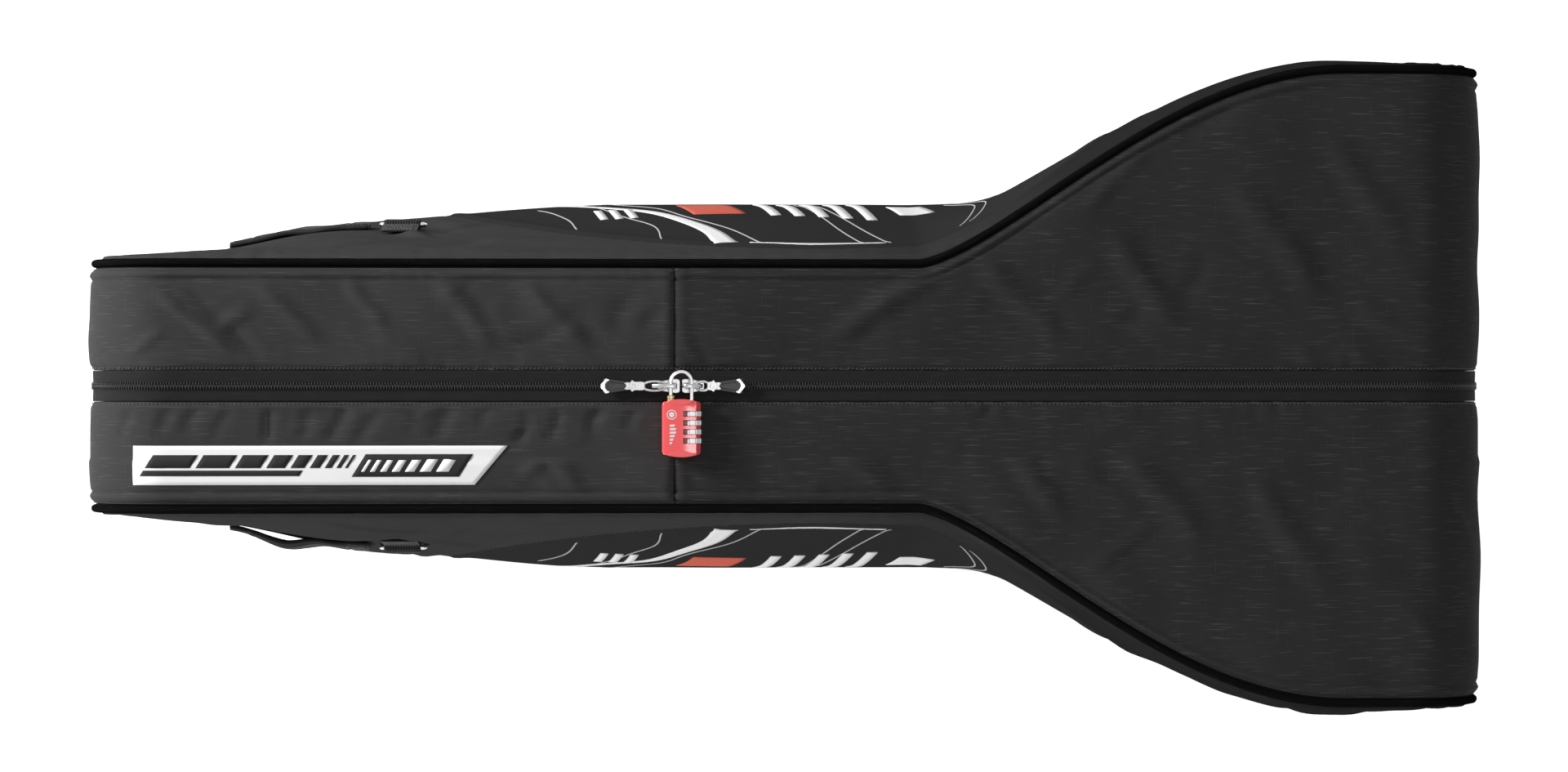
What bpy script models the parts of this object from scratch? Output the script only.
"""Soft travel bag for one bicycle, on four swivel casters.

Metres, +Z up. +X points to the wide handlebar end, +Y to the left side of the bag.
The origin is on the floor, under the middle of the bag.
"""

import math

import bmesh
import bpy
from mathutils import Euler, Matrix, Vector
from mathutils.bvhtree import BVHTree

# Clearances
GAP = 0.0003
RUNNING = 0.0004
OVERRUN = 0.002

# Outline of the bag seen from the side
HALF_LENGTH = 0.530
ROOF_REAR_Z = 0.945
ROOF_FRONT_Z = 0.893
CORNER_RADIUS = 0.060
CORNER_STEPS = 4
TRAY_RIM_Z = 0.100
WALL_ROWS = 14
REAR_ROOF_STEPS = 8
FRONT_ROOF_STEPS = 13
CROSS_SEAM_X = -0.0861

# Width of the bag
NARROW_HALF = 0.0965
WIDE_HALF = 0.2443
BASE_HALF = 0.115
BASE_TAPER_TOP_Z = 0.400
FLARE_START_X = 0.0977
FLARE_END = 0.1082
FLARE_POWER_SHARE = 0.762
FLARE_FOOT_Z = 0.437
FLARE_FULL_Z = 0.756
SWELL = 0.0409
SWELL_REAR_RUN = 0.200
SWELL_FRONT_RUN = 0.074
SWELL_DROP_RUN = 0.080
SWELL_DROP_SHARE = 0.576
WHEEL_X = 0.020
WHEEL_Z = 0.500
WHEEL_PANEL_RADIUS = 0.398
WHEEL_PANEL_EDGE = 0.218
WHEEL_PANEL_RISE = 0.0139

# Padded walls, seams and zipper tapes
SHELL = 0.008
GUSSET = 0.006
PIPING_RADIUS = 0.003
TAPE = 0.0015
TAPE_RECESS = 0.0015
TAPE_SLOT = 0.0014
TAPE_EDGE_Y = 0.0115

# Wheel pockets
POCKET_RADIUS = 0.315
POCKET_Y = 0.094
POCKET_DEPTH = 0.050
POCKET_WALL = 0.003
POCKET_SEAT = 0.0007
POCKET_MOUTH_DEGREES = 80.0
POCKET_SIDES = 36
POCKET_SEAT_SAMPLES = 5

# Base tray
TRAY_DECK_Z = 0.062
TRAY_FLOOR = 0.004
TRAY_WALL = 0.0085
TRAY_CORNER = 0.012
RUNNER_FROM_CASTER = 0.069
RUNNER_WIDTH = 0.014
RUNNER_DEPTH = 0.010
RUNNER_SPACING = 0.045
RUNNER_ROUND = 0.002
LINER = 0.006

# Casters
CASTER_END = 0.080
CASTER_EDGE = 0.041
CASTER_PLATE_LENGTH = 0.062
CASTER_PLATE_WIDTH = 0.056
CASTER_PLATE = 0.0035
CASTER_BOSS_RADIUS = 0.017
CASTER_BOSS = 0.003
KINGPIN_RADIUS = 0.005
CASTER_TRAIL = 0.020
CASTER_WHEEL_RADIUS = 0.024
CASTER_WHEEL_WIDTH = 0.020
CASTER_WHEEL_ROUND = 0.005
CASTER_HUB_RADIUS = 0.010
CASTER_HUB_DISH = 0.003
FORK_WIDTH = 0.031
FORK_CROWN = 0.004
FORK_CROWN_RADIUS = 0.0155
FORK_EYE_RADIUS = 0.008
FORK_SIDE_CLEARANCE = 0.0008
CASTER_PIN_RADIUS = 0.003
CASTER_PIN_HEAD = 0.001

# Frame that the bicycle is bolted to
RAIL_END = 0.022
RAIL_SPACING = 0.040
RAIL_WIDTH = 0.020
RAIL_HEIGHT = 0.012
CROSSBAR_WIDTH = 0.030
CROSSBAR_X = 0.280
FRAME_ROUND = 0.0015
AXLE_Z = 0.240
AXLE_RADIUS = 0.006
STAND_BOSS_RADIUS = 0.012
STAND_FOOT_LENGTH = 0.060
STAND_FOOT = 0.006
POST_FOOT_LENGTH = 0.030
POST_FOOT_WIDTH = 0.070
POST_HEAD_LENGTH = 0.016
POST_HEAD_WIDTH = 0.050
STAND_END = 0.060
REAR_HUB_HALF = 0.065
FORK_HUB_HALF = 0.050
DROPOUT = 0.008
AXLE_HEAD_RADIUS = 0.010
AXLE_HEAD = 0.006
LEVER_LENGTH = 0.034
LEVER_THICKNESS = 0.005
LEVER_TIP_RADIUS = 0.005
SLIDE_FLANGE = 0.004
KNOB_OFFSET_X = 0.052
KNOB_RADIUS = 0.013
KNOB_HEIGHT = 0.012
KNOB_LOBES = 6
KNOB_LOBE_DEPTH = 0.0015
KNOB_SCREW_RADIUS = 0.004
KNOB_PAD_LENGTH = 0.032

# Strap rings, their tabs and the carry handles
TAB_FROM_REAR = 0.2254
TAB_Z = 0.770
TAB_LENGTH = 0.0285
TAB_ROLL_RADIUS = 0.0043
TAB_BORE_RADIUS = 0.0022
TAB_PATCH_HEIGHT = 0.034
WEBBING = 0.002
SEAT = 0.0005
RING_LENGTH = 0.037
RING_DROP = 0.017
RING_WIRE_RADIUS = 0.0018
RING_BEND = 0.002
HANDLE_FROM_REAR = 0.0908
HANDLE_LENGTH = 0.1083
HANDLE_HEIGHT = 0.025
HANDLE_THICKNESS = 0.004
HANDLE_LIFT_RIGHT = 0.013
HANDLE_LIFT_LEFT = 0.002
HANDLE_STEPS = 12

# White patch on the right of the zipper, in plan
PATCH_FROM_REAR = 0.0410
PATCH_LENGTH = 0.2782
PATCH_LOWER_LENGTH = 0.2530
PATCH_CORNER_SHARES = ((0.12, 0.05), (0.26, 0.19))
PATCH_INNER_Y = 0.0446
PATCH_OUTER_Y = 0.0739
PATCH_THICKNESS = 0.0006

# Zipper sliders. Their x is measured along the roof from the middle of the pair
ZIP_X = -0.0813
SLIDER_NOSE = 0.0007
SLIDER_LENGTH = 0.0168
SLIDER_HALF_WIDTH = 0.0055
SLIDER_WEB = 0.001
SLIDER_PLATE = 0.0018
SLIDER_LOWER_PLATE = 0.0012
SLIDER_LIFT = 0.0012
SLIDER_ROUND = 0.0012
BRIDGE_WIDTH = 0.003
BRIDGE_INNER_X = 0.0036
BRIDGE_OUTER_X = 0.0155
BRIDGE_BAR = 0.0014
BRIDGE_HOLE_FOOT = 0.0025
BRIDGE_HOLE_TOP = 0.0104

# Pullers
PULL_HINGE_X = 0.0119
PULL_HINGE_Z = 0.0042
PULL_PIN_RADIUS = 0.001
PULL_EYE_HALF_WIDTH = 0.0042
PULL_EYE_WIRE = 0.0016
PULL_EYE_HEIGHT = 0.0022
PULL_LINK_REAR = 0.0200
PULL_LINK_FRONT = 0.0090
COLLAR_LENGTH = 0.0130
COLLAR_HALF_WIDTH = 0.0043
COLLAR_HEIGHT = 0.0044
COLLAR_WAIST_SHARE = 0.62
PULL_CORD_RADIUS = 0.0012
PULL_CORD_SPACING = 0.0046
PULL_CORD_LENGTH = 0.0094
CAP_LENGTH = 0.0060
CAP_HALF_WIDTH = 0.0056
CAP_HEIGHT = 0.0044
CAP_SLANT = 0.0030

# Travel lock
LEG_Z = 0.0082
LEG_SPACING = 0.0157
LEG_RADIUS = 0.0015
SHACKLE_TOP_Y = 0.0122
LONG_LEG_Y = -0.0300
SHORT_LEG_Y = -0.0162
ARCH_STEPS = 10
CASE_WIDTH = 0.0288
CASE_TOP_Y = -0.0116
CASE_BOTTOM_Y = -0.0515
CASE_CROWN = 0.0018
CASE_THICKNESS = 0.0130
CASE_ROUND = 0.0016
CASE_SLANT_WIDTH = 0.0034
CASE_SLANT_DEPTH = 0.0042
CASE_CORNER = 0.0026
CASE_ARC_STEPS = 4
BUSHING_RADIUS = 0.0032
BUSHING_LENGTH = 0.0034
DIAL_COUNT = 4
FIRST_DIAL_Y = -0.0208
DIAL_PITCH = 0.00674
DIAL_WIDTH = 0.0040
DIAL_RADIUS = 0.0068
DIAL_X = 0.0084
DIAL_TEETH = 10
DIAL_TOOTH = 0.0005
SPINDLE_RADIUS = 0.0020

# Colours
BLACK = (0.012, 0.012, 0.013)
CHARCOAL = (0.035, 0.035, 0.036)
LINING = (0.05, 0.05, 0.052)
TRAY_GREY = (0.02, 0.02, 0.022)
FOAM = (0.03, 0.03, 0.032)
STEEL = (0.55, 0.55, 0.56)
ALUMINIUM = (0.62, 0.63, 0.65)
BRASS = (0.55, 0.38, 0.12)
RUBBER = (0.015, 0.015, 0.016)
RED = (0.80, 0.12, 0.13)
WHITE = (0.85, 0.85, 0.85)

LEFT = 1
RIGHT = -1
SIDE_NAMES = {LEFT: "left", RIGHT: "right"}
ROOF_SLOPE = (ROOF_FRONT_Z - ROOF_REAR_Z) / (2 * HALF_LENGTH)
ROOF_NORMAL_LENGTH = math.hypot(1, ROOF_SLOPE)
ROOF_ANGLE = math.atan(ROOF_SLOPE)
RIM_INSET = 2 * PIPING_RADIUS + GAP
FLARE_END_X = HALF_LENGTH - FLARE_END
CASTER_X = HALF_LENGTH - CASTER_END
CASTER_Y = BASE_HALF - CASTER_EDGE
RUNNER_HALF_LENGTH = CASTER_X - CASTER_PLATE_LENGTH / 2 - RUNNER_FROM_CASTER
RAIL_HALF_LENGTH = HALF_LENGTH - RAIL_END
FORK_STAND_X = HALF_LENGTH - STAND_END
REAR_STAND_X = -FORK_STAND_X
TAB_X = TAB_FROM_REAR - HALF_LENGTH
HANDLE_REAR_X = HANDLE_FROM_REAR - HALF_LENGTH
HANDLE_FRONT_X = HANDLE_REAR_X + HANDLE_LENGTH
PATCH_REAR_X = PATCH_FROM_REAR - HALF_LENGTH
LINER_Z = TRAY_DECK_Z + TRAY_FLOOR + GAP
RAIL_Z = LINER_Z + LINER + GAP
RAIL_TOP_Z = RAIL_Z + RAIL_HEIGHT
STAND_Z = RAIL_TOP_Z + GAP
STAND_FOOT_WIDTH = 2 * (RAIL_SPACING + RAIL_WIDTH / 2 + RUNNING + SLIDE_FLANGE)


def clear_scene():
    for item in list(bpy.data.objects):
        bpy.data.objects.remove(item, do_unlink=True)


def new_collection(name):
    collection = bpy.data.collections.new(name)
    bpy.context.scene.collection.children.link(collection)
    return collection


def new_material(name, colour, roughness, metallic=0):
    made = bpy.data.materials.new(name)
    made.use_nodes = True
    shader = made.node_tree.nodes["Principled BSDF"]
    shader.inputs["Base Color"].default_value = (*colour, 1)
    shader.inputs["Roughness"].default_value = roughness
    shader.inputs["Metallic"].default_value = metallic
    made.diffuse_color = (*colour, 1)
    return made


clear_scene()
BAG = new_collection("soft_bike_travel_bag")
CUTTERS = new_collection("cutters")
MATERIALS = {
    "padded_fabric": new_material("padded_fabric", CHARCOAL, 0.9),
    "printed_fabric": new_material("printed_fabric", BLACK, 0.6),
    "lining": new_material("lining", LINING, 0.9),
    "piping": new_material("piping", BLACK, 0.7),
    "zip_tape": new_material("zip_tape", BLACK, 0.85),
    "webbing": new_material("webbing", BLACK, 0.8),
    "patch": new_material("patch", WHITE, 0.5),
    "tray_plastic": new_material("tray_plastic", TRAY_GREY, 0.5),
    "foam": new_material("foam", FOAM, 0.95),
    "steel": new_material("steel", STEEL, 0.3, 1),
    "aluminium": new_material("aluminium", ALUMINIUM, 0.35, 1),
    "black_metal": new_material("black_metal", BLACK, 0.4, 1),
    "brass": new_material("brass", BRASS, 0.3, 1),
    "rubber": new_material("rubber", RUBBER, 0.7),
    "red_paint": new_material("red_paint", RED, 0.35),
}
# Where each pivot stands, in the frame that its pieces are modelled in
PLACES = {}


# Objects, pivots and Booleans


def add(name, mesh, material):
    """A named piece of the bag."""
    mesh.name = name
    item = bpy.data.objects.new(name, mesh)
    item.data.materials.clear()
    item.data.materials.append(MATERIALS[material])
    BAG.objects.link(item)
    return item


def helper(name, mesh):
    """A shape that is only cut from or joined to a piece."""
    item = bpy.data.objects.new(name, mesh)
    item.hide_render = True
    item.display_type = "WIRE"
    CUTTERS.objects.link(item)
    return item


def pivot(name, place, parent=None):
    """An empty on a joint's axis."""
    empty = bpy.data.objects.new(name, None)
    BAG.objects.link(empty)
    empty.location = place
    PLACES[name] = Vector(place)
    if parent:
        hang(empty, parent)
    return empty


def hang(item, parent):
    """Parent a piece that stays where it was modelled."""
    item.parent = parent
    item.matrix_parent_inverse = Matrix.Translation(-PLACES[parent.name])
    return item


def boolean(item, other, operation):
    modifier = item.modifiers.new(other.name, "BOOLEAN")
    modifier.operation = operation
    modifier.solver = "EXACT"
    modifier.object = other
    return item


def cut(item, *cutters):
    for cutter in cutters:
        boolean(item, cutter, "DIFFERENCE")
        share_frame(cutter, item)
    return item


def join(item, *others):
    for other in others:
        boolean(item, other, "UNION")
        share_frame(other, item)
    return item


def share_frame(other, item):
    """Model a helper in the same frame as the piece that uses it."""
    if item.parent:
        hang(other, item.parent)


def round_edges(item, width, segments=2, angle=math.radians(40)):
    modifier = item.modifiers.new("round", "BEVEL")
    modifier.width = width
    modifier.segments = segments
    modifier.limit_method = "ANGLE"
    modifier.angle_limit = angle
    return item


def smooth(item, angle=math.radians(35)):
    item.data.shade_smooth()
    item.data.set_sharp_from_angle(angle=angle)
    return item


# Basic shapes


def box_mesh(name, low, high):
    mesh = bpy.data.meshes.new(name)
    work = bmesh.new()
    size = [b - a for a, b in zip(low, high)]
    centre = [(a + b) / 2 for a, b in zip(low, high)]
    bmesh.ops.create_cube(work, size=1, matrix=Matrix.Translation(centre) @ Matrix.Diagonal((*size, 1)))
    work.to_mesh(mesh)
    work.free()
    return mesh


def cylinder_mesh(name, start, end, radius, sides=16):
    """A round bar between two points."""
    start = Vector(start)
    end = Vector(end)
    run = end - start
    turn = run.to_track_quat("Z", "Y").to_matrix().to_4x4()
    mesh = bpy.data.meshes.new(name)
    work = bmesh.new()
    bmesh.ops.create_cone(
        work, cap_ends=True, segments=sides, radius1=radius, radius2=radius,
        depth=run.length, matrix=Matrix.Translation((start + end) / 2) @ turn)
    work.to_mesh(mesh)
    work.free()
    return mesh


def prism_mesh(name, outline, thickness, matrix=None):
    """A flat outline in XY, filled and given a thickness about its plane, then placed."""
    curve = bpy.data.curves.new(name, "CURVE")
    curve.dimensions = "2D"
    curve.fill_mode = "BOTH"
    curve.extrude = thickness / 2
    spline = curve.splines.new("POLY")
    spline.points.add(len(outline) - 1)
    for point, (x, y) in zip(spline.points, outline):
        point.co = (x, y, 0, 1)
    spline.use_cyclic_u = True
    return closed_mesh(name, curve, matrix)


def closed_mesh(name, curve, matrix=None):
    """The mesh of a curve, with its caps welded."""
    source = bpy.data.objects.new(name, curve)
    CUTTERS.objects.link(source)
    graph = bpy.context.evaluated_depsgraph_get()
    mesh = bpy.data.meshes.new_from_object(source.evaluated_get(graph))
    bpy.data.objects.remove(source, do_unlink=True)
    work = bmesh.new()
    work.from_mesh(mesh)
    bmesh.ops.remove_doubles(work, verts=work.verts, dist=1e-6)
    if matrix:
        bmesh.ops.transform(work, matrix=matrix, verts=work.verts)
    bmesh.ops.recalc_face_normals(work, faces=work.faces)
    work.to_mesh(mesh)
    work.free()
    return mesh


def tube_mesh(name, points, radius, resolution=2, cyclic=False):
    curve = bpy.data.curves.new(name, "CURVE")
    curve.dimensions = "3D"
    curve.bevel_depth = radius
    curve.bevel_resolution = resolution
    curve.use_fill_caps = True
    spline = curve.splines.new("POLY")
    spline.points.add(len(points) - 1)
    for point, place in zip(spline.points, points):
        point.co = (*place, 1)
    spline.use_cyclic_u = cyclic
    return closed_mesh(name, curve)


def turned_mesh(name, profile, steps, matrix):
    """A closed profile of radius and height, turned about Z and then placed."""
    mesh = bpy.data.meshes.new(name)
    work = bmesh.new()
    verts = [work.verts.new((radius, 0, height)) for radius, height in profile]
    edges = [work.edges.new((a, b)) for a, b in zip(verts, verts[1:] + verts[:1])]
    bmesh.ops.spin(
        work, geom=verts + edges, axis=(0, 0, 1), cent=(0, 0, 0),
        angle=2 * math.pi, steps=steps, use_merge=True)
    bmesh.ops.remove_doubles(work, verts=work.verts, dist=1e-6)
    bmesh.ops.transform(work, matrix=matrix, verts=work.verts)
    bmesh.ops.recalc_face_normals(work, faces=work.faces)
    work.to_mesh(mesh)
    work.free()
    return mesh


def sheet_mesh(name, columns, rows, outer, inner):
    """A closed sheet between two surfaces, each a function of column and row."""
    work = bmesh.new()
    bmesh.ops.create_grid(work, x_segments=columns, y_segments=rows, size=1)
    geometry = bmesh.ops.extrude_face_region(work, geom=work.faces[:])["geom"]
    back = {vert for vert in geometry if isinstance(vert, bmesh.types.BMVert)}
    for vert in work.verts:
        column = round((vert.co.x + 1) / 2 * columns)
        row = round((vert.co.y + 1) / 2 * rows)
        surface = inner if vert in back else outer
        vert.co = surface(column, row)
    bmesh.ops.recalc_face_normals(work, faces=work.faces)
    mesh = bpy.data.meshes.new(name)
    work.to_mesh(mesh)
    work.free()
    return mesh


def mirrored(name, source, material):
    """The right piece of a pair, mirrored from the left one."""
    graph = bpy.context.evaluated_depsgraph_get()
    mesh = bpy.data.meshes.new_from_object(source.evaluated_get(graph))
    mesh.transform(Matrix.Scale(-1, 4, (0, 1, 0)) @ source.matrix_world)
    mesh.flip_normals()
    return add(name, mesh, material)


def arc(centre, radius, start, end, steps):
    """Points of an arc, angles in radians."""
    for step in range(steps + 1):
        angle = start + (end - start) * step / steps
        yield centre[0] + radius * math.cos(angle), centre[1] + radius * math.sin(angle)


def lerp(start, end, share):
    return start + (end - start) * share


def ease(share):
    """A smooth step from 0 to 1."""
    share = min(max(share, 0), 1)
    return share * share * (3 - 2 * share)


# Shape of the bag


def roof_line(x):
    return ROOF_REAR_Z + ROOF_SLOPE * (x + HALF_LENGTH)


def corner_centre(end):
    x = end * (HALF_LENGTH - CORNER_RADIUS)
    return x, roof_line(x) - CORNER_RADIUS * ROOF_NORMAL_LENGTH


def roof_height(x):
    """Height of the outline at x, over the roof and down its rounded corners."""
    end = 1 if x > 0 else -1
    centre_x, centre_z = corner_centre(end)
    touch_x = centre_x - CORNER_RADIUS * math.sin(ROOF_ANGLE)
    if (x - touch_x) * end <= 0:
        return roof_line(x)
    return centre_z + math.sqrt(max(CORNER_RADIUS ** 2 - (x - centre_x) ** 2, 0))


def side_y(x, z):
    """Half-width of the left side panel's outer face at x and z."""
    base = lerp(BASE_HALF, NARROW_HALF, ease((z - TRAY_RIM_Z) / (BASE_TAPER_TOP_Z - TRAY_RIM_Z)))
    run = min(max((x - FLARE_START_X) / (FLARE_END_X - FLARE_START_X), 0), 1)
    flare = (WIDE_HALF - NARROW_HALF) * ease(run ** FLARE_POWER_SHARE)
    flare *= ease((z - FLARE_FOOT_Z) / (FLARE_FULL_Z - FLARE_FOOT_Z))
    height = (z - TRAY_RIM_Z) / (roof_height(x) - TRAY_RIM_Z)
    swell = SWELL * 4 * max(height * (1 - height), 0)
    swell *= ease((x + HALF_LENGTH) / SWELL_REAR_RUN) * ease((HALF_LENGTH - x) / SWELL_FRONT_RUN)
    swell *= 1 - SWELL_DROP_SHARE * ease((x - FLARE_START_X) / SWELL_DROP_RUN)
    reach = math.hypot(x - WHEEL_X, z - WHEEL_Z)
    wheel = WHEEL_PANEL_RISE * ease((WHEEL_PANEL_RADIUS - reach) / WHEEL_PANEL_EDGE)
    return base + flare + swell + wheel


def roof_xs():
    """Where the seams' points stand along the roof, with the cross seam between them."""
    rear = corner_centre(-1)[0]
    front = corner_centre(1)[0]
    before = [lerp(rear, CROSS_SEAM_X, step / REAR_ROOF_STEPS) for step in range(1, REAR_ROOF_STEPS)]
    after = [lerp(CROSS_SEAM_X, front, step / FRONT_ROOF_STEPS) for step in range(1, FRONT_ROOF_STEPS)]
    return before + [CROSS_SEAM_X] + after


def roof_stations(inset):
    """Points (x, z) over the top, from corner to corner, inset from the outline."""
    rear = corner_centre(-1)
    front = corner_centre(1)
    normal = math.pi / 2 + ROOF_ANGLE
    radius = CORNER_RADIUS - inset
    stations = list(arc(rear, radius, math.pi, normal, CORNER_STEPS))
    stations += [(x, roof_line(x) - inset * ROOF_NORMAL_LENGTH) for x in roof_xs()]
    stations += list(arc(front, radius, normal, 0, CORNER_STEPS))
    return stations


def rim_stations(inset):
    """Points (x, z) from the tray's rear end, over the top, to its front end."""
    heights = [step / WALL_ROWS for step in range(WALL_ROWS)]
    rear_x, rear_z = -(HALF_LENGTH - inset), corner_centre(-1)[1]
    front_x, front_z = HALF_LENGTH - inset, corner_centre(1)[1]
    rear = [(rear_x, lerp(TRAY_RIM_Z, rear_z, share)) for share in heights]
    front = [(front_x, lerp(TRAY_RIM_Z, front_z, share)) for share in reversed(heights)]
    return rear + roof_stations(inset) + front


def side_panel():
    """Padded side wall, with the round wheel panel and the flare for the handlebar."""
    stations = roof_stations(RIM_INSET)

    def outer(column, row):
        x, top = stations[column]
        z = lerp(TRAY_RIM_Z, top, row / WALL_ROWS)
        return x, side_y(x, z), z

    def inner(column, row):
        x, y, z = outer(column, row)
        return x, y - SHELL, z

    mesh = sheet_mesh("side_panel", len(stations) - 1, WALL_ROWS, outer, inner)
    return smooth(add("side_panel_left", mesh, "printed_fabric"))


def band_mesh(name, first, last, depth, thickness, near_y, far_y):
    """A band of cloth along the seam, from one station to another.

    near_y and far_y give its two edges from the station's x and z.
    """
    outline = rim_stations(0)[first:last + 1]
    top = rim_stations(depth)[first:last + 1]
    under = rim_stations(depth + thickness)[first:last + 1]

    def place(stations, column, row):
        x, z = stations[column]
        edge = far_y if row else near_y
        return x, edge(*outline[column]), z

    return sheet_mesh(
        name, last - first, 1,
        lambda column, row: place(top, column, row), lambda column, row: place(under, column, row))


def gussets():
    """The bag's top and end walls on the left of the zipper, in two lengths."""
    seam = WALL_ROWS + CORNER_STEPS + REAR_ROOF_STEPS
    end = len(rim_stations(0)) - 1

    def near(x, z):
        return TAPE_EDGE_Y + GAP

    def far(x, z):
        return side_y(x, z) - SHELL - GAP

    rear_mesh = band_mesh("gusset_rear", 0, seam, 0, GUSSET, near, far)
    front_mesh = band_mesh("gusset_front", seam, end, 0, GUSSET, near, far)
    rear = add("gusset_rear_left", rear_mesh, "padded_fabric")
    front = add("gusset_front_left", front_mesh, "padded_fabric")
    for piece, step in ((rear, -GAP / 2), (front, GAP / 2)):
        for vert in piece.data.vertices:
            if abs(vert.co.x - CROSS_SEAM_X) < GAP:
                vert.co.x += step
    return rear, front


def zip_tape():
    end = len(rim_stations(0)) - 1
    mesh = band_mesh(
        "zip_tape", 0, end, TAPE_RECESS, TAPE, lambda x, z: TAPE_SLOT / 2, lambda x, z: TAPE_EDGE_Y)
    return add("zip_tape_left", mesh, "zip_tape")


def piping():
    """Round cord that lies on the side panel's rim, beside the gusset."""
    outline = rim_stations(0)
    middle = rim_stations(PIPING_RADIUS)
    points = [(x, side_y(*edge) - SHELL / 2, z) for edge, (x, z) in zip(outline, middle)]
    mesh = tube_mesh("piping", points, PIPING_RADIUS, resolution=1)
    return smooth(add("piping_left", mesh, "piping"))


def wheel_pocket(inside):
    """Dished inner wall of the wheel pocket, open at its top and seated on the side panel."""
    side = 2 * math.pi / POCKET_SIDES

    def inside_at(angle, radius):
        return inside(WHEEL_X + radius * math.sin(angle), WHEEL_Z + radius * math.cos(angle))

    def seat_y(angle):
        nearby = [
            inside_at(angle + side * step / POCKET_SEAT_SAMPLES, POCKET_RADIUS + offset)
            for step in range(-POCKET_SEAT_SAMPLES, POCKET_SEAT_SAMPLES + 1)
            for offset in (-POCKET_WALL, 0, POCKET_WALL)]
        return min(min(nearby) - POCKET_SEAT, POCKET_Y + POCKET_DEPTH)

    mesh = bpy.data.meshes.new("wheel_pocket")
    work = bmesh.new()
    upright = Euler((math.pi / 2, 0, 0)).to_matrix().to_4x4()
    place = Matrix.Translation((WHEEL_X, POCKET_Y, WHEEL_Z)) @ upright
    bmesh.ops.create_circle(work, cap_ends=True, segments=POCKET_SIDES, radius=POCKET_RADIUS, matrix=place)
    walled = []
    for edge in work.edges:
        middle = (edge.verts[0].co + edge.verts[1].co) / 2
        angle = math.atan2(middle.x - WHEEL_X, middle.z - WHEEL_Z)
        if abs(angle) > math.radians(POCKET_MOUTH_DEGREES / 2):
            walled.append(edge)
    lip = bmesh.ops.extrude_edge_only(work, edges=walled)["geom"]
    for vert in lip:
        if isinstance(vert, bmesh.types.BMVert):
            vert.co.y = seat_y(math.atan2(vert.co.x - WHEEL_X, vert.co.z - WHEEL_Z))
    bmesh.ops.recalc_face_normals(work, faces=work.faces)
    work.to_mesh(mesh)
    work.free()
    piece = add("wheel_pocket_left", mesh, "lining")
    solid = piece.modifiers.new("wall", "SOLIDIFY")
    solid.thickness = POCKET_WALL
    solid.offset = -1
    solid.use_even_offset = True
    return piece


# Base


def tray_outline(half_length, half_width, radius):
    """A rounded rectangle about the origin."""
    corners = ((1, 1, 0), (-1, 1, 1), (-1, -1, 2), (1, -1, 3))
    outline = []
    for x_sign, y_sign, quarter in corners:
        centre = (x_sign * (half_length - radius), y_sign * (half_width - radius))
        start = quarter * math.pi / 2
        outline += list(arc(centre, radius, start, start + math.pi / 2, CORNER_STEPS))
    return outline


def slab_mesh(name, outline, low_z, high_z):
    """A flat outline between two heights."""
    return prism_mesh(name, outline, high_z - low_z, Matrix.Translation((0, 0, (low_z + high_z) / 2)))


def base_tray():
    """Moulded tray with a rim that the bag stands on, and three runners below."""
    rim = TRAY_RIM_Z - GAP
    floor = TRAY_DECK_Z + TRAY_FLOOR
    inner_round = TRAY_CORNER - TRAY_WALL
    tray = add("base_tray", slab_mesh(
        "base_tray", tray_outline(HALF_LENGTH, BASE_HALF, TRAY_CORNER), TRAY_DECK_Z, rim), "tray_plastic")
    well = helper("tray_well", slab_mesh(
        "tray_well", tray_outline(HALF_LENGTH - TRAY_WALL, BASE_HALF - TRAY_WALL, inner_round),
        floor, rim + OVERRUN))
    cut(tray, well)
    for index in (-1, 0, 1):
        middle = index * RUNNER_SPACING
        runner = helper(f"runner_{index + 2}", box_mesh(
            "runner", (-RUNNER_HALF_LENGTH, middle - RUNNER_WIDTH / 2, TRAY_DECK_Z - RUNNER_DEPTH),
            (RUNNER_HALF_LENGTH, middle + RUNNER_WIDTH / 2, TRAY_DECK_Z + RUNNER_ROUND + TRAY_FLOOR / 4)))
        join(tray, round_edges(runner, RUNNER_ROUND))
    return tray


def base_liner():
    margin = TRAY_WALL + SEAT
    outline = tray_outline(HALF_LENGTH - margin, BASE_HALF - margin, TRAY_CORNER - TRAY_WALL)
    return add("base_liner", slab_mesh("base_liner", outline, LINER_Z, LINER_Z + LINER), "foam")


def stand_frame():
    """Ladder frame of square tube that the two stands are fixed to."""
    frame = None
    for side in (LEFT, RIGHT):
        middle = side * RAIL_SPACING
        mesh = box_mesh(
            "rail", (-RAIL_HALF_LENGTH, middle - RAIL_WIDTH / 2, RAIL_Z),
            (RAIL_HALF_LENGTH, middle + RAIL_WIDTH / 2, RAIL_TOP_Z))
        if frame:
            join(frame, helper("rail_right", mesh))
        else:
            frame = add("stand_frame", mesh, "steel")
    for index, x in enumerate((-CROSSBAR_X, 0, CROSSBAR_X)):
        bar = helper(f"crossbar_{index + 1}", box_mesh(
            "crossbar", (x - CROSSBAR_WIDTH / 2, -RAIL_SPACING, RAIL_Z + RAIL_HEIGHT / 4),
            (x + CROSSBAR_WIDTH / 2, RAIL_SPACING, RAIL_TOP_Z - RAIL_HEIGHT / 4)))
        join(frame, bar)
    return round_edges(frame, FRAME_ROUND, segments=1)


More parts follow.
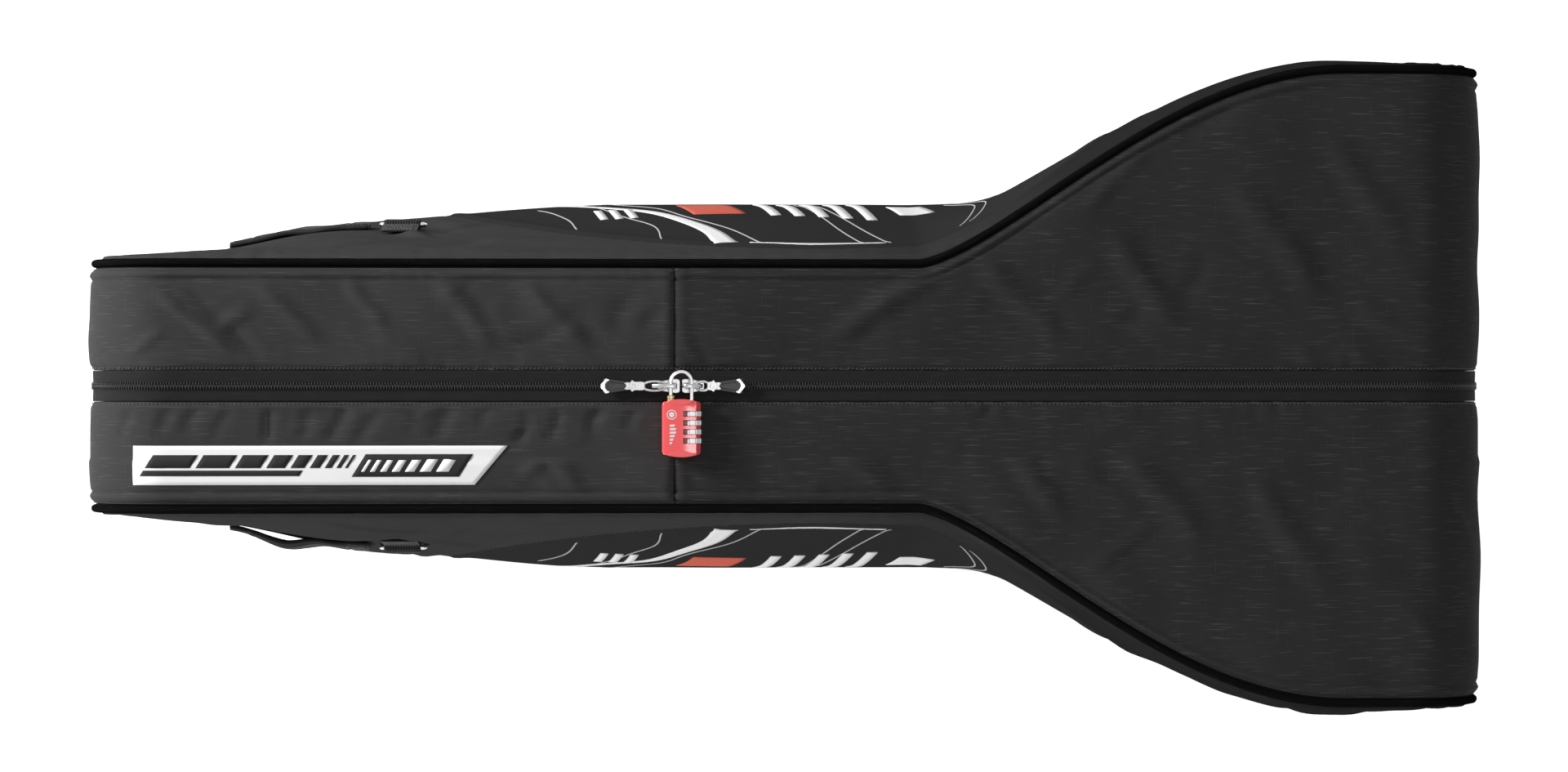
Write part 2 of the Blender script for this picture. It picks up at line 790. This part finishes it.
def tapered_post(name, x, foot_z, head_z):
    """A post that narrows from its foot to the axle boss."""
    mesh = box_mesh(name, (-POST_FOOT_LENGTH / 2, -POST_FOOT_WIDTH / 2, foot_z),
                    (POST_FOOT_LENGTH / 2, POST_FOOT_WIDTH / 2, head_z))
    for vert in mesh.vertices:
        if vert.co.z > (foot_z + head_z) / 2:
            vert.co.x *= POST_HEAD_LENGTH / POST_FOOT_LENGTH
            vert.co.y *= POST_HEAD_WIDTH / POST_FOOT_WIDTH
    mesh.transform(Matrix.Translation((x, 0, 0)))
    return helper(name, mesh)


def axle_stand(name, x, hub_half, foot_length):
    """Foot plate, post and cross boss that the bicycle's dropouts are clamped to."""
    stand = add(name, box_mesh(
        name, (x - foot_length / 2, -STAND_FOOT_WIDTH / 2, STAND_Z),
        (x + STAND_FOOT_LENGTH / 2, STAND_FOOT_WIDTH / 2, STAND_Z + STAND_FOOT)), "aluminium")
    post = tapered_post(f"{name}_post", x, STAND_Z + STAND_FOOT / 2, AXLE_Z)
    boss = helper(f"{name}_boss", cylinder_mesh(
        "boss", (x, -hub_half, AXLE_Z), (x, hub_half, AXLE_Z), STAND_BOSS_RADIUS, sides=20))
    bore = helper(f"{name}_bore", cylinder_mesh(
        "bore", (x, -hub_half - OVERRUN, AXLE_Z), (x, hub_half + OVERRUN, AXLE_Z), AXLE_RADIUS + GAP))
    join(stand, post, boss)
    return cut(stand, bore)


def through_axle(name, x, hub_half):
    """Axle with a head at its right end, clear of the boss by the dropout's thickness."""
    outer = hub_half + DROPOUT
    axle = add(name, cylinder_mesh(
        name, (x, -outer - AXLE_HEAD / 2, AXLE_Z), (x, outer - GAP, AXLE_Z), AXLE_RADIUS), "steel")
    head = helper(f"{name}_head", cylinder_mesh(
        "head", (x, -outer - AXLE_HEAD, AXLE_Z), (x, -outer, AXLE_Z), AXLE_HEAD_RADIUS, sides=20))
    return join(axle, head)


def axle_lever(name, x, hub_half):
    """Hub and hand lever at the axle's left end, pointing down."""
    inner = hub_half + DROPOUT
    outer = inner + AXLE_HEAD
    lever = add(name, cylinder_mesh(
        name, (x, inner, AXLE_Z), (x, outer, AXLE_Z), AXLE_HEAD_RADIUS, sides=20), "black_metal")
    tip = (0, -LEVER_LENGTH)
    waist = (AXLE_HEAD_RADIUS + LEVER_TIP_RADIUS) / 2
    outline = list(arc(tip, LEVER_TIP_RADIUS, -math.pi, 0, 2 * CORNER_STEPS))
    outline += [(waist, -AXLE_HEAD_RADIUS / 2), (0, 0), (-waist, -AXLE_HEAD_RADIUS / 2)]
    stand_up = Euler((math.pi / 2, 0, 0)).to_matrix().to_4x4()
    place = Matrix.Translation((x, outer - LEVER_THICKNESS / 2, AXLE_Z)) @ stand_up
    return join(lever, helper(f"{name}_arm", prism_mesh("arm", outline, LEVER_THICKNESS - GAP, place)))


def fork_stand():
    """Stand that slides along the rails, with flanges outside them and a clamp knob's hole."""
    foot_length = STAND_FOOT_LENGTH + 2 * KNOB_PAD_LENGTH
    stand = axle_stand("fork_stand", FORK_STAND_X, FORK_HUB_HALF, foot_length)
    rail_outside = RAIL_SPACING + RAIL_WIDTH / 2 + RUNNING
    for side in (LEFT, RIGHT):
        edges = sorted((side * rail_outside, side * (rail_outside + SLIDE_FLANGE)))
        flange = helper(f"flange_{SIDE_NAMES[side]}", box_mesh(
            "flange", (FORK_STAND_X - STAND_FOOT_LENGTH / 2, edges[0], RAIL_Z + GAP),
            (FORK_STAND_X + STAND_FOOT_LENGTH / 2, edges[1], STAND_Z + STAND_FOOT / 2)))
        join(stand, flange)
    hole = helper("knob_hole", cylinder_mesh(
        "knob_hole", (FORK_STAND_X - KNOB_OFFSET_X, 0, STAND_Z - OVERRUN),
        (FORK_STAND_X - KNOB_OFFSET_X, 0, STAND_Z + STAND_FOOT + OVERRUN), KNOB_SCREW_RADIUS + GAP))
    return cut(stand, hole)


def clamp_knob():
    """Lobed hand knob on a screw."""
    foot = STAND_Z + STAND_FOOT + GAP
    outline = []
    for step in range(4 * KNOB_LOBES):
        angle = step * 2 * math.pi / (4 * KNOB_LOBES)
        radius = KNOB_RADIUS + KNOB_LOBE_DEPTH * math.cos(KNOB_LOBES * angle)
        outline.append((radius * math.cos(angle), radius * math.sin(angle)))
    x = FORK_STAND_X - KNOB_OFFSET_X
    place = Matrix.Translation((x, 0, foot + KNOB_HEIGHT / 2))
    knob = add("clamp_knob", prism_mesh("clamp_knob", outline, KNOB_HEIGHT, place), "rubber")
    screw = helper("knob_screw", cylinder_mesh(
        "knob_screw", (x, 0, STAND_Z), (x, 0, foot + KNOB_HEIGHT / 2), KNOB_SCREW_RADIUS))
    return join(knob, screw)


# Casters


def caster_plate(index, x, y):
    """Plate with a raised ring that the kingpin turns in."""
    top = TRAY_DECK_Z - GAP
    foot = top - CASTER_PLATE
    plate = add(f"caster_plate_{index}", box_mesh(
        "caster_plate", (x - CASTER_PLATE_LENGTH / 2, y - CASTER_PLATE_WIDTH / 2, foot),
        (x + CASTER_PLATE_LENGTH / 2, y + CASTER_PLATE_WIDTH / 2, top)), "steel")
    boss = helper(f"caster_boss_{index}", cylinder_mesh(
        "caster_boss", (x, y, foot - CASTER_BOSS), (x, y, top - CASTER_PLATE / 2), CASTER_BOSS_RADIUS, 16))
    bore = helper(f"caster_bore_{index}", cylinder_mesh(
        "caster_bore", (x, y, foot - CASTER_BOSS - OVERRUN), (x, y, top + OVERRUN), KINGPIN_RADIUS + GAP, 12))
    join(plate, boss)
    return cut(plate, bore)


def fork_outline(crown_z):
    """Side view of the fork, from its crown back and down to the axle's eye."""
    eye = (CASTER_TRAIL, CASTER_WHEEL_RADIUS)
    outline = [(FORK_CROWN_RADIUS, crown_z), (-FORK_CROWN_RADIUS, crown_z)]
    outline.append((-FORK_CROWN_RADIUS, crown_z - FORK_CROWN))
    outline += list(arc(eye, FORK_EYE_RADIUS, math.radians(-160), math.radians(20), 2 * CORNER_STEPS))
    outline.append((FORK_CROWN_RADIUS, crown_z - FORK_CROWN))
    return outline


def caster_fork(index, x, y):
    """Swivel fork with its kingpin and the wheel's pin."""
    crown_z = TRAY_DECK_Z - GAP - CASTER_PLATE - CASTER_BOSS - GAP
    stand_up = Euler((math.pi / 2, 0, 0)).to_matrix().to_4x4()
    place = Matrix.Translation((x, y, 0))
    fork = add(f"caster_fork_{index}", prism_mesh(
        "caster_fork", fork_outline(crown_z), FORK_WIDTH, place @ stand_up), "black_metal")
    slot_half = CASTER_WHEEL_WIDTH / 2 + FORK_SIDE_CLEARANCE
    slot = helper(f"fork_slot_{index}", box_mesh(
        "fork_slot", (x - FORK_WIDTH, y - slot_half, -OVERRUN),
        (x + CASTER_TRAIL + FORK_WIDTH, y + slot_half, crown_z - FORK_CROWN)))
    kingpin = helper(f"kingpin_{index}", cylinder_mesh(
        "kingpin", (x, y, crown_z - FORK_CROWN / 2), (x, y, TRAY_DECK_Z - 2 * GAP), KINGPIN_RADIUS, 12))
    pin_half = FORK_WIDTH / 2 + CASTER_PIN_HEAD
    axle_x = x + CASTER_TRAIL
    pin = helper(f"caster_pin_{index}", cylinder_mesh(
        "caster_pin", (axle_x, y - pin_half, CASTER_WHEEL_RADIUS), (axle_x, y + pin_half, CASTER_WHEEL_RADIUS),
        CASTER_PIN_RADIUS, 10))
    cut(fork, slot)
    return join(fork, kingpin, pin)


def caster_wheel(index, x, y):
    """Wheel with a rounded tread and dished sides, turned about its pin."""
    half = CASTER_WHEEL_WIDTH / 2
    rim = CASTER_WHEEL_RADIUS - CASTER_WHEEL_ROUND
    bore = CASTER_PIN_RADIUS + GAP
    web = half - CASTER_HUB_DISH
    profile = [(bore, half), (CASTER_HUB_RADIUS, half), (CASTER_HUB_RADIUS, web), (rim - OVERRUN, web), (rim, half)]
    profile += list(arc((rim, half - CASTER_WHEEL_ROUND), CASTER_WHEEL_ROUND, math.pi / 2, 0, 2))[1:]
    profile += [(radius, -height) for radius, height in reversed(profile)]
    lay_down = Euler((math.pi / 2, 0, 0)).to_matrix().to_4x4()
    place = Matrix.Translation((x + CASTER_TRAIL, y, CASTER_WHEEL_RADIUS)) @ lay_down
    return smooth(add(f"caster_wheel_{index}", turned_mesh("caster_wheel", profile, 18, place), "rubber"))


# Strap rings and handles


def panel_faces(panel):
    """Two functions of x and z that give the y of the left panel's outer and inner face."""
    tree = BVHTree.FromObject(panel, bpy.context.evaluated_depsgraph_get())

    def outside(x, z):
        return tree.ray_cast(Vector((x, 2 * WIDE_HALF, z)), Vector((0, -1, 0)))[0].y

    def inside(x, z):
        return tree.ray_cast(Vector((x, 0, z)), Vector((0, 1, 0)))[0].y

    return outside, inside


def patch_on_panel(name, face, low, high, thickness, lift=None, columns=2, rows=2):
    """A flat strip that follows the panel, between two corners (x, z)."""
    def inner(column, row):
        x = lerp(low[0], high[0], column / columns)
        z = lerp(low[1], high[1], row / rows)
        raised = lift(column / columns) if lift else 0
        return x, face(x, z) + SEAT + raised, z

    def outer(column, row):
        x, y, z = inner(column, row)
        return x, y + thickness, z

    return sheet_mesh(name, columns, rows, outer, inner)


def strap_tab(face):
    """Rolled webbing around the ring's bar, with its end sewn to the panel above."""
    y = face(TAB_X, TAB_Z) + SEAT + TAB_ROLL_RADIUS
    start = TAB_X - TAB_LENGTH / 2
    end = TAB_X + TAB_LENGTH / 2
    patch = patch_on_panel(
        "strap_tab", face, (start + GAP, TAB_Z), (end - GAP, TAB_Z + TAB_PATCH_HEIGHT), WEBBING)
    tab = add("strap_tab_left", patch, "webbing")
    roll = helper("tab_roll", cylinder_mesh("tab_roll", (start, y, TAB_Z), (end, y, TAB_Z), TAB_ROLL_RADIUS))
    bore = helper("tab_bore", cylinder_mesh(
        "tab_bore", (start - OVERRUN, y, TAB_Z), (end + OVERRUN, y, TAB_Z), TAB_BORE_RADIUS))
    join(tab, roll)
    return cut(tab, bore)


def strap_ring(face):
    """Metal loop that hangs from the tab."""
    y = face(TAB_X, TAB_Z) + SEAT + TAB_ROLL_RADIUS
    half = RING_LENGTH / 2 - RING_WIRE_RADIUS
    corners = ((1, 0, 0), (-1, 0, 1), (-1, -1, 2), (1, -1, 3))
    points = []
    for x_sign, drop, quarter in corners:
        centre = (TAB_X + x_sign * (half - RING_BEND), TAB_Z + drop * RING_DROP - (1 + 2 * drop) * RING_BEND)
        start = quarter * math.pi / 2
        points += [(x, y, z) for x, z in arc(centre, RING_BEND, start, start + math.pi / 2, 3)]
    return smooth(add("strap_ring_left", tube_mesh("strap_ring", points, RING_WIRE_RADIUS, cyclic=True), "steel"))


def carry_handle(face, side, lift):
    """Padded webbing handle that bows out between its sewn ends."""
    low = (HANDLE_REAR_X, TAB_Z - HANDLE_HEIGHT / 2)
    high = (HANDLE_FRONT_X, TAB_Z + HANDLE_HEIGHT / 2)
    name = f"carry_handle_{SIDE_NAMES[side]}"
    mesh = patch_on_panel(
        name, face, low, high, HANDLE_THICKNESS, lambda share: lift * math.sin(math.pi * share) ** 2,
        columns=HANDLE_STEPS)
    if side == RIGHT:
        mesh.transform(Matrix.Scale(-1, 4, (0, 1, 0)))
        mesh.flip_normals()
    return add(name, mesh, "webbing")


# Zipper sliders, pullers and lock. They lie on the sloping roof and are modelled flat,
# with x along the zipper, z up from the roof, and the middle of the slider pair at the origin


def label_patch(roof):
    """Thin plate with a slanted front end."""
    def along(x):
        return (x - ZIP_X) * ROOF_NORMAL_LENGTH

    rear = along(PATCH_REAR_X)
    lower_front = along(PATCH_REAR_X + PATCH_LOWER_LENGTH)
    front = along(PATCH_REAR_X + PATCH_LENGTH)
    outline = [(rear, -PATCH_INNER_Y), (rear, -PATCH_OUTER_Y), (lower_front, -PATCH_OUTER_Y)]
    for along_share, across_share in PATCH_CORNER_SHARES:
        across = lerp(-PATCH_OUTER_Y, -PATCH_INNER_Y, across_share)
        outline.append((lerp(lower_front, front, along_share), across))
    outline.append((front, -PATCH_INNER_Y))
    mesh = prism_mesh(
        "label_patch", outline, PATCH_THICKNESS, Matrix.Translation((0, 0, GAP + PATCH_THICKNESS / 2)))
    return hang(add("label_patch", mesh, "patch"), roof)


def slider(name, direction, axis):
    """Zipper slider: two plates joined through the slot, under a bridge for the lock."""
    near = direction * SLIDER_NOSE
    far = direction * (SLIDER_NOSE + SLIDER_LENGTH)
    low_x, high_x = sorted((near, far))
    plate_z = SLIDER_LIFT - TAPE_RECESS
    lower_z = -TAPE_RECESS - TAPE - SLIDER_LIFT
    body = hang(add(name, box_mesh(
        name, (low_x, -SLIDER_HALF_WIDTH, plate_z),
        (high_x, SLIDER_HALF_WIDTH, plate_z + SLIDER_PLATE)), "aluminium"), axis)
    lower = helper(f"{name}_lower", box_mesh(
        "lower", (low_x, -SLIDER_HALF_WIDTH, lower_z - SLIDER_LOWER_PLATE), (high_x, SLIDER_HALF_WIDTH, lower_z)))
    web = helper(f"{name}_web", box_mesh(
        "web", (low_x + SLIDER_ROUND, -SLIDER_WEB / 2, lower_z - SLIDER_LOWER_PLATE / 2),
        (high_x - SLIDER_ROUND, SLIDER_WEB / 2, plate_z + SLIDER_PLATE / 2)))
    inner, outer = sorted((direction * BRIDGE_INNER_X, direction * BRIDGE_OUTER_X))
    bridge = helper(f"{name}_bridge", box_mesh(
        "bridge", (inner, -BRIDGE_WIDTH / 2, plate_z + SLIDER_PLATE / 2),
        (outer, BRIDGE_WIDTH / 2, BRIDGE_HOLE_TOP + BRIDGE_BAR)))
    round_edges(bridge, SLIDER_ROUND, segments=1)
    hole = helper(f"{name}_hole", box_mesh(
        "hole", (inner + BRIDGE_BAR, -SLIDER_HALF_WIDTH, BRIDGE_HOLE_FOOT),
        (outer - BRIDGE_BAR, SLIDER_HALF_WIDTH, BRIDGE_HOLE_TOP)))
    join(body, web, lower, bridge)
    return cut(body, hole)


def puller_link(end, direction, length, axis):
    """Metal link: a loop with a pin under the bridge, and a waisted collar for the cords."""
    hinge = direction * PULL_HINGE_X
    start = hinge + direction * PULL_EYE_WIRE
    collar_near = hinge + direction * length
    collar_far = collar_near + direction * COLLAR_LENGTH
    low_z = PULL_HINGE_Z - PULL_EYE_HEIGHT / 2
    high_z = PULL_HINGE_Z + PULL_EYE_HEIGHT / 2
    width = PULL_EYE_HALF_WIDTH
    middle = (collar_near + collar_far) / 2
    waist = COLLAR_HALF_WIDTH * COLLAR_WAIST_SHARE
    outline = [
        (collar_near, -COLLAR_HALF_WIDTH), (middle, -waist), (collar_far, -COLLAR_HALF_WIDTH),
        (collar_far, COLLAR_HALF_WIDTH), (middle, waist), (collar_near, COLLAR_HALF_WIDTH)]
    name = f"puller_link_{end}"
    link = hang(add(name, prism_mesh(
        name, outline, COLLAR_HEIGHT, Matrix.Translation((0, 0, PULL_HINGE_Z))), "aluminium"), axis)
    pin = helper(f"{name}_pin", cylinder_mesh(
        "pin", (hinge, -width, PULL_HINGE_Z), (hinge, width, PULL_HINGE_Z), PULL_PIN_RADIUS, 10))
    join(link, pin)
    for side in (LEFT, RIGHT):
        edges = sorted((side * (width - PULL_EYE_WIRE), side * width))
        ends = sorted((hinge - direction * PULL_PIN_RADIUS, collar_near + direction * COLLAR_LENGTH / 4))
        arm = helper(f"{name}_arm_{SIDE_NAMES[side]}", box_mesh(
            "arm", (ends[0], edges[0], low_z), (ends[1], edges[1], high_z)))
        join(link, arm)
    return link


def puller_cord(end, direction, link_length, axis):
    """Rubber cord that runs from the collar to the end cap and back."""
    start = direction * (PULL_HINGE_X + link_length + COLLAR_LENGTH + GAP)
    bend = PULL_CORD_SPACING / 2
    finish = start + direction * (PULL_CORD_LENGTH + CAP_SLANT / 2 - bend - PULL_CORD_RADIUS)
    turn = [(finish + direction * x, y) for x, y in arc((0, 0), bend, math.pi / 2, -math.pi / 2, 6)]
    points = [(x, y, PULL_HINGE_Z) for x, y in [(start, bend), *turn, (start, -bend)]]
    name = f"puller_cord_{end}"
    return smooth(hang(add(name, tube_mesh(name, points, PULL_CORD_RADIUS), "rubber"), axis))


def puller_cap(end, direction, link_length, axis):
    """End cap with a swept-back outline."""
    start = direction * (PULL_HINGE_X + link_length + COLLAR_LENGTH + PULL_CORD_LENGTH + 2 * GAP)
    finish = start + direction * CAP_LENGTH
    slant = direction * CAP_SLANT
    outline = [
        (start, -CAP_HALF_WIDTH), (finish - slant, -CAP_HALF_WIDTH), (finish, 0),
        (finish - slant, CAP_HALF_WIDTH), (start, CAP_HALF_WIDTH), (start + slant / 2, 0)]
    name = f"puller_cap_{end}"
    mesh = prism_mesh(name, outline, CAP_HEIGHT, Matrix.Translation((0, 0, PULL_HINGE_Z)))
    return hang(add(name, mesh, "aluminium"), axis)


def lock_shackle(axis):
    half = LEG_SPACING / 2
    centre_y = SHACKLE_TOP_Y - LEG_RADIUS - half
    points = [(-half, LONG_LEG_Y, LEG_Z)]
    points += [(x, y, LEG_Z) for x, y in arc((0, centre_y), half, math.pi, 0, ARCH_STEPS)]
    points.append((half, SHORT_LEG_Y, LEG_Z))
    shackle = add("lock_shackle", tube_mesh("lock_shackle", points, LEG_RADIUS), "steel")
    return smooth(hang(shackle, axis))


def case_outline():
    """Front view of the case, with crowned ends and rounded corners."""
    half = CASE_WIDTH / 2
    inner = half - CASE_CORNER
    outline = []
    for sign, shoulder in ((1, CASE_TOP_Y), (-1, CASE_BOTTOM_Y)):
        crown = [
            (inner * share * sign, shoulder + sign * CASE_CROWN * (1 - share * share))
            for share in (1 - 2 * step / CASE_ARC_STEPS for step in range(CASE_ARC_STEPS + 1))]
        first = list(arc((sign * inner, shoulder - sign * CASE_CORNER), CASE_CORNER,
                         (0 if sign > 0 else math.pi), (math.pi / 2 if sign > 0 else 1.5 * math.pi), 3))
        last = list(arc((-sign * inner, shoulder - sign * CASE_CORNER), CASE_CORNER,
                        (math.pi / 2 if sign > 0 else 1.5 * math.pi), (math.pi if sign > 0 else 2 * math.pi), 3))
        outline += first[:-1] + crown + last[1:]
    return outline


def slant_mesh():
    """Wedge that slants the case's front right edge, where the dials show."""
    side = CASE_WIDTH / 2
    front = CASE_THICKNESS / 2
    outline = [
        (side - CASE_SLANT_WIDTH, front), (side, front - CASE_SLANT_DEPTH),
        (side + CASE_SLANT_WIDTH, front - CASE_SLANT_DEPTH),
        (side + CASE_SLANT_WIDTH, front + CASE_SLANT_DEPTH),
        (side - CASE_SLANT_WIDTH, front + CASE_SLANT_DEPTH)]
    length = CASE_TOP_Y - CASE_BOTTOM_Y + 2 * CASE_CROWN + 2 * OVERRUN
    stand_up = Euler((math.pi / 2, 0, 0)).to_matrix().to_4x4()
    place = Matrix.Translation((0, (CASE_TOP_Y + CASE_BOTTOM_Y) / 2, LEG_Z)) @ stand_up
    return prism_mesh("case_slant", outline, length, place)


def lock_case(axis):
    """Lock body with bores for the shackle and a ring-shaped pocket for each dial."""
    half = LEG_SPACING / 2
    case = hang(add("lock_case", prism_mesh(
        "lock_case", case_outline(), CASE_THICKNESS, Matrix.Translation((0, 0, LEG_Z))), "red_paint"), axis)
    round_edges(case, CASE_ROUND, segments=1)
    top = CASE_TOP_Y + CASE_CROWN + OVERRUN
    long_bore = helper("long_bore", cylinder_mesh(
        "long_bore", (-half, LONG_LEG_Y - OVERRUN, LEG_Z), (-half, top, LEG_Z), LEG_RADIUS + GAP, 12))
    short_bore = helper("short_bore", cylinder_mesh(
        "short_bore", (half, SHORT_LEG_Y - GAP, LEG_Z), (half, top, LEG_Z), LEG_RADIUS + GAP, 12))
    seat = helper("bushing_seat", cylinder_mesh(
        "bushing_seat", (-half, CASE_TOP_Y - BUSHING_LENGTH / 2 - GAP, LEG_Z), (-half, top, LEG_Z),
        BUSHING_RADIUS + GAP, 16))
    cut(case, long_bore, short_bore, seat, helper("case_slant", slant_mesh()))
    for index in range(DIAL_COUNT):
        y = FIRST_DIAL_Y - index * DIAL_PITCH
        pocket_half = DIAL_WIDTH / 2 + RUNNING
        inner = SPINDLE_RADIUS
        outer = DIAL_RADIUS + DIAL_TOOTH + RUNNING
        profile = [(inner, pocket_half), (outer, pocket_half), (outer, -pocket_half), (inner, -pocket_half)]
        lay_down = Euler((math.pi / 2, 0, 0)).to_matrix().to_4x4()
        place = Matrix.Translation((DIAL_X, y, LEG_Z)) @ lay_down
        cut(case, helper(f"dial_pocket_{index + 1}", turned_mesh("dial_pocket", profile, 16, place)))
    return case


def lock_bushing(axis):
    """Collar around the long leg."""
    half = LEG_SPACING / 2
    low = CASE_TOP_Y - BUSHING_LENGTH / 2
    profile = [
        (LEG_RADIUS + GAP, BUSHING_LENGTH), (BUSHING_RADIUS, BUSHING_LENGTH), (BUSHING_RADIUS, 0),
        (LEG_RADIUS + GAP, 0)]
    lay_down = Euler((-math.pi / 2, 0, 0)).to_matrix().to_4x4()
    place = Matrix.Translation((-half, low, LEG_Z)) @ lay_down
    return smooth(hang(add("lock_bushing", turned_mesh("lock_bushing", profile, 16, place), "brass"), axis))


def lock_dial(index, axis):
    """Thumb wheel with a notched rim, on the case's spindle."""
    y = FIRST_DIAL_Y - index * DIAL_PITCH
    outline = []
    for step in range(2 * DIAL_TEETH):
        angle = (step + 0.5) * math.pi / DIAL_TEETH
        radius = DIAL_RADIUS + (DIAL_TOOTH if step % 2 else 0)
        outline.append((radius * math.cos(angle), radius * math.sin(angle)))
    stand_up = Euler((math.pi / 2, 0, 0)).to_matrix().to_4x4()
    place = Matrix.Translation((DIAL_X, y, LEG_Z)) @ stand_up
    name = f"lock_dial_{index + 1}"
    dial = hang(add(name, prism_mesh(name, outline, DIAL_WIDTH, place), "aluminium"), axis)
    bore = helper(f"{name}_bore", cylinder_mesh(
        "dial_bore", (DIAL_X, y - DIAL_WIDTH, LEG_Z), (DIAL_X, y + DIAL_WIDTH, LEG_Z),
        SPINDLE_RADIUS + GAP, 16))
    return cut(dial, bore)


# Assembly


def build_base():
    base_tray()
    base_liner()
    stand_frame()
    axle_stand("rear_stand", REAR_STAND_X, REAR_HUB_HALF, STAND_FOOT_LENGTH)
    rear_axis = pivot("rear_axle_axis", (REAR_STAND_X, 0, AXLE_Z))
    hang(through_axle("rear_axle", REAR_STAND_X, REAR_HUB_HALF), rear_axis)
    hang(axle_lever("rear_lever", REAR_STAND_X, REAR_HUB_HALF), rear_axis)
    slide = pivot("fork_stand_slide", (FORK_STAND_X, 0, STAND_Z))
    hang(fork_stand(), slide)
    fork_axis = pivot("fork_axle_axis", (FORK_STAND_X, 0, AXLE_Z), slide)
    hang(through_axle("fork_axle", FORK_STAND_X, FORK_HUB_HALF), fork_axis)
    hang(axle_lever("fork_lever", FORK_STAND_X, FORK_HUB_HALF), fork_axis)
    knob_axis = pivot("clamp_knob_axis", (FORK_STAND_X - KNOB_OFFSET_X, 0, STAND_Z), slide)
    hang(clamp_knob(), knob_axis)


def build_casters():
    places = [(x, y) for x in (-CASTER_X, CASTER_X) for y in (CASTER_Y, -CASTER_Y)]
    for index, (x, y) in enumerate(places, start=1):
        caster_plate(index, x, y)
        swivel = pivot(f"caster_swivel_{index}", (x, y, TRAY_DECK_Z))
        hang(caster_fork(index, x, y), swivel)
        axle = pivot(f"caster_axle_{index}", (x + CASTER_TRAIL, y, CASTER_WHEEL_RADIUS), swivel)
        hang(caster_wheel(index, x, y), axle)


def build_halves():
    panel = side_panel()
    face, inside = panel_faces(panel)
    tab = strap_tab(face)
    ring = strap_ring(face)
    ring_y = face(TAB_X, TAB_Z) + SEAT + TAB_ROLL_RADIUS
    handle_y = face((HANDLE_REAR_X + HANDLE_FRONT_X) / 2, TAB_Z) + SEAT
    left = [panel, *gussets(), zip_tape(), piping(), wheel_pocket(inside), tab]
    hinge = pivot("left_half_hinge", (0, BASE_HALF, TRAY_RIM_Z))
    twin_hinge = pivot("right_half_hinge", (0, -BASE_HALF, TRAY_RIM_Z))
    for piece in left:
        twin = mirrored(piece.name.replace("left", "right"), piece, piece.data.materials[0].name)
        hang(twin, twin_hinge)
        hang_with_helpers(piece, hinge)
    twin_ring = mirrored("strap_ring_right", ring, "steel")
    handles = {LEFT: carry_handle(face, LEFT, HANDLE_LIFT_LEFT), RIGHT: carry_handle(face, RIGHT, HANDLE_LIFT_RIGHT)}
    for side, half, loop in ((LEFT, hinge, ring), (RIGHT, twin_hinge, twin_ring)):
        name = SIDE_NAMES[side]
        hang(loop, pivot(f"strap_ring_axis_{name}", (TAB_X, side * ring_y, TAB_Z), half))
        handle_axis = pivot(
            f"carry_handle_axis_{name}", (TAB_X, side * handle_y, TAB_Z + HANDLE_HEIGHT / 2), half)
        hang(handles[side], handle_axis)
    return twin_hinge


def hang_with_helpers(piece, parent):
    """Parent a piece together with the shapes that are cut from it or joined to it."""
    hang(piece, parent)
    for modifier in piece.modifiers:
        if modifier.type == "BOOLEAN":
            hang(modifier.object, parent)


def build_zipper(half):
    roof = pivot("roof_frame", (ZIP_X, 0, roof_line(ZIP_X)), half)
    roof.rotation_euler = (0, -ROOF_ANGLE, 0)
    PLACES[roof.name] = Vector((0, 0, 0))
    label_patch(roof)
    rear = pivot("slider_rear_slide", (-BRIDGE_OUTER_X, 0, 0), roof)
    front = pivot("slider_front_slide", (BRIDGE_OUTER_X, 0, 0), roof)
    for end, direction, length, slide in (
            ("rear", -1, PULL_LINK_REAR, rear), ("front", 1, PULL_LINK_FRONT, front)):
        slider(f"slider_{end}", direction, slide)
        axis = pivot(f"puller_axis_{end}", (direction * PULL_HINGE_X, 0, PULL_HINGE_Z), slide)
        puller_link(end, direction, length, axis)
        puller_cord(end, direction, length, axis)
        puller_cap(end, direction, length, axis)
    swing = pivot("lock_swing", (0, 0, LEG_Z), rear)
    lock_shackle(swing)
    release = pivot("lock_release", (0, CASE_TOP_Y, LEG_Z), swing)
    lock_case(release)
    lock_bushing(release)
    for index in range(DIAL_COUNT):
        spindle = pivot(f"lock_dial_axis_{index + 1}", (DIAL_X, FIRST_DIAL_Y - index * DIAL_PITCH, LEG_Z), release)
        lock_dial(index, spindle)


build_base()
build_casters()
build_zipper(build_halves())
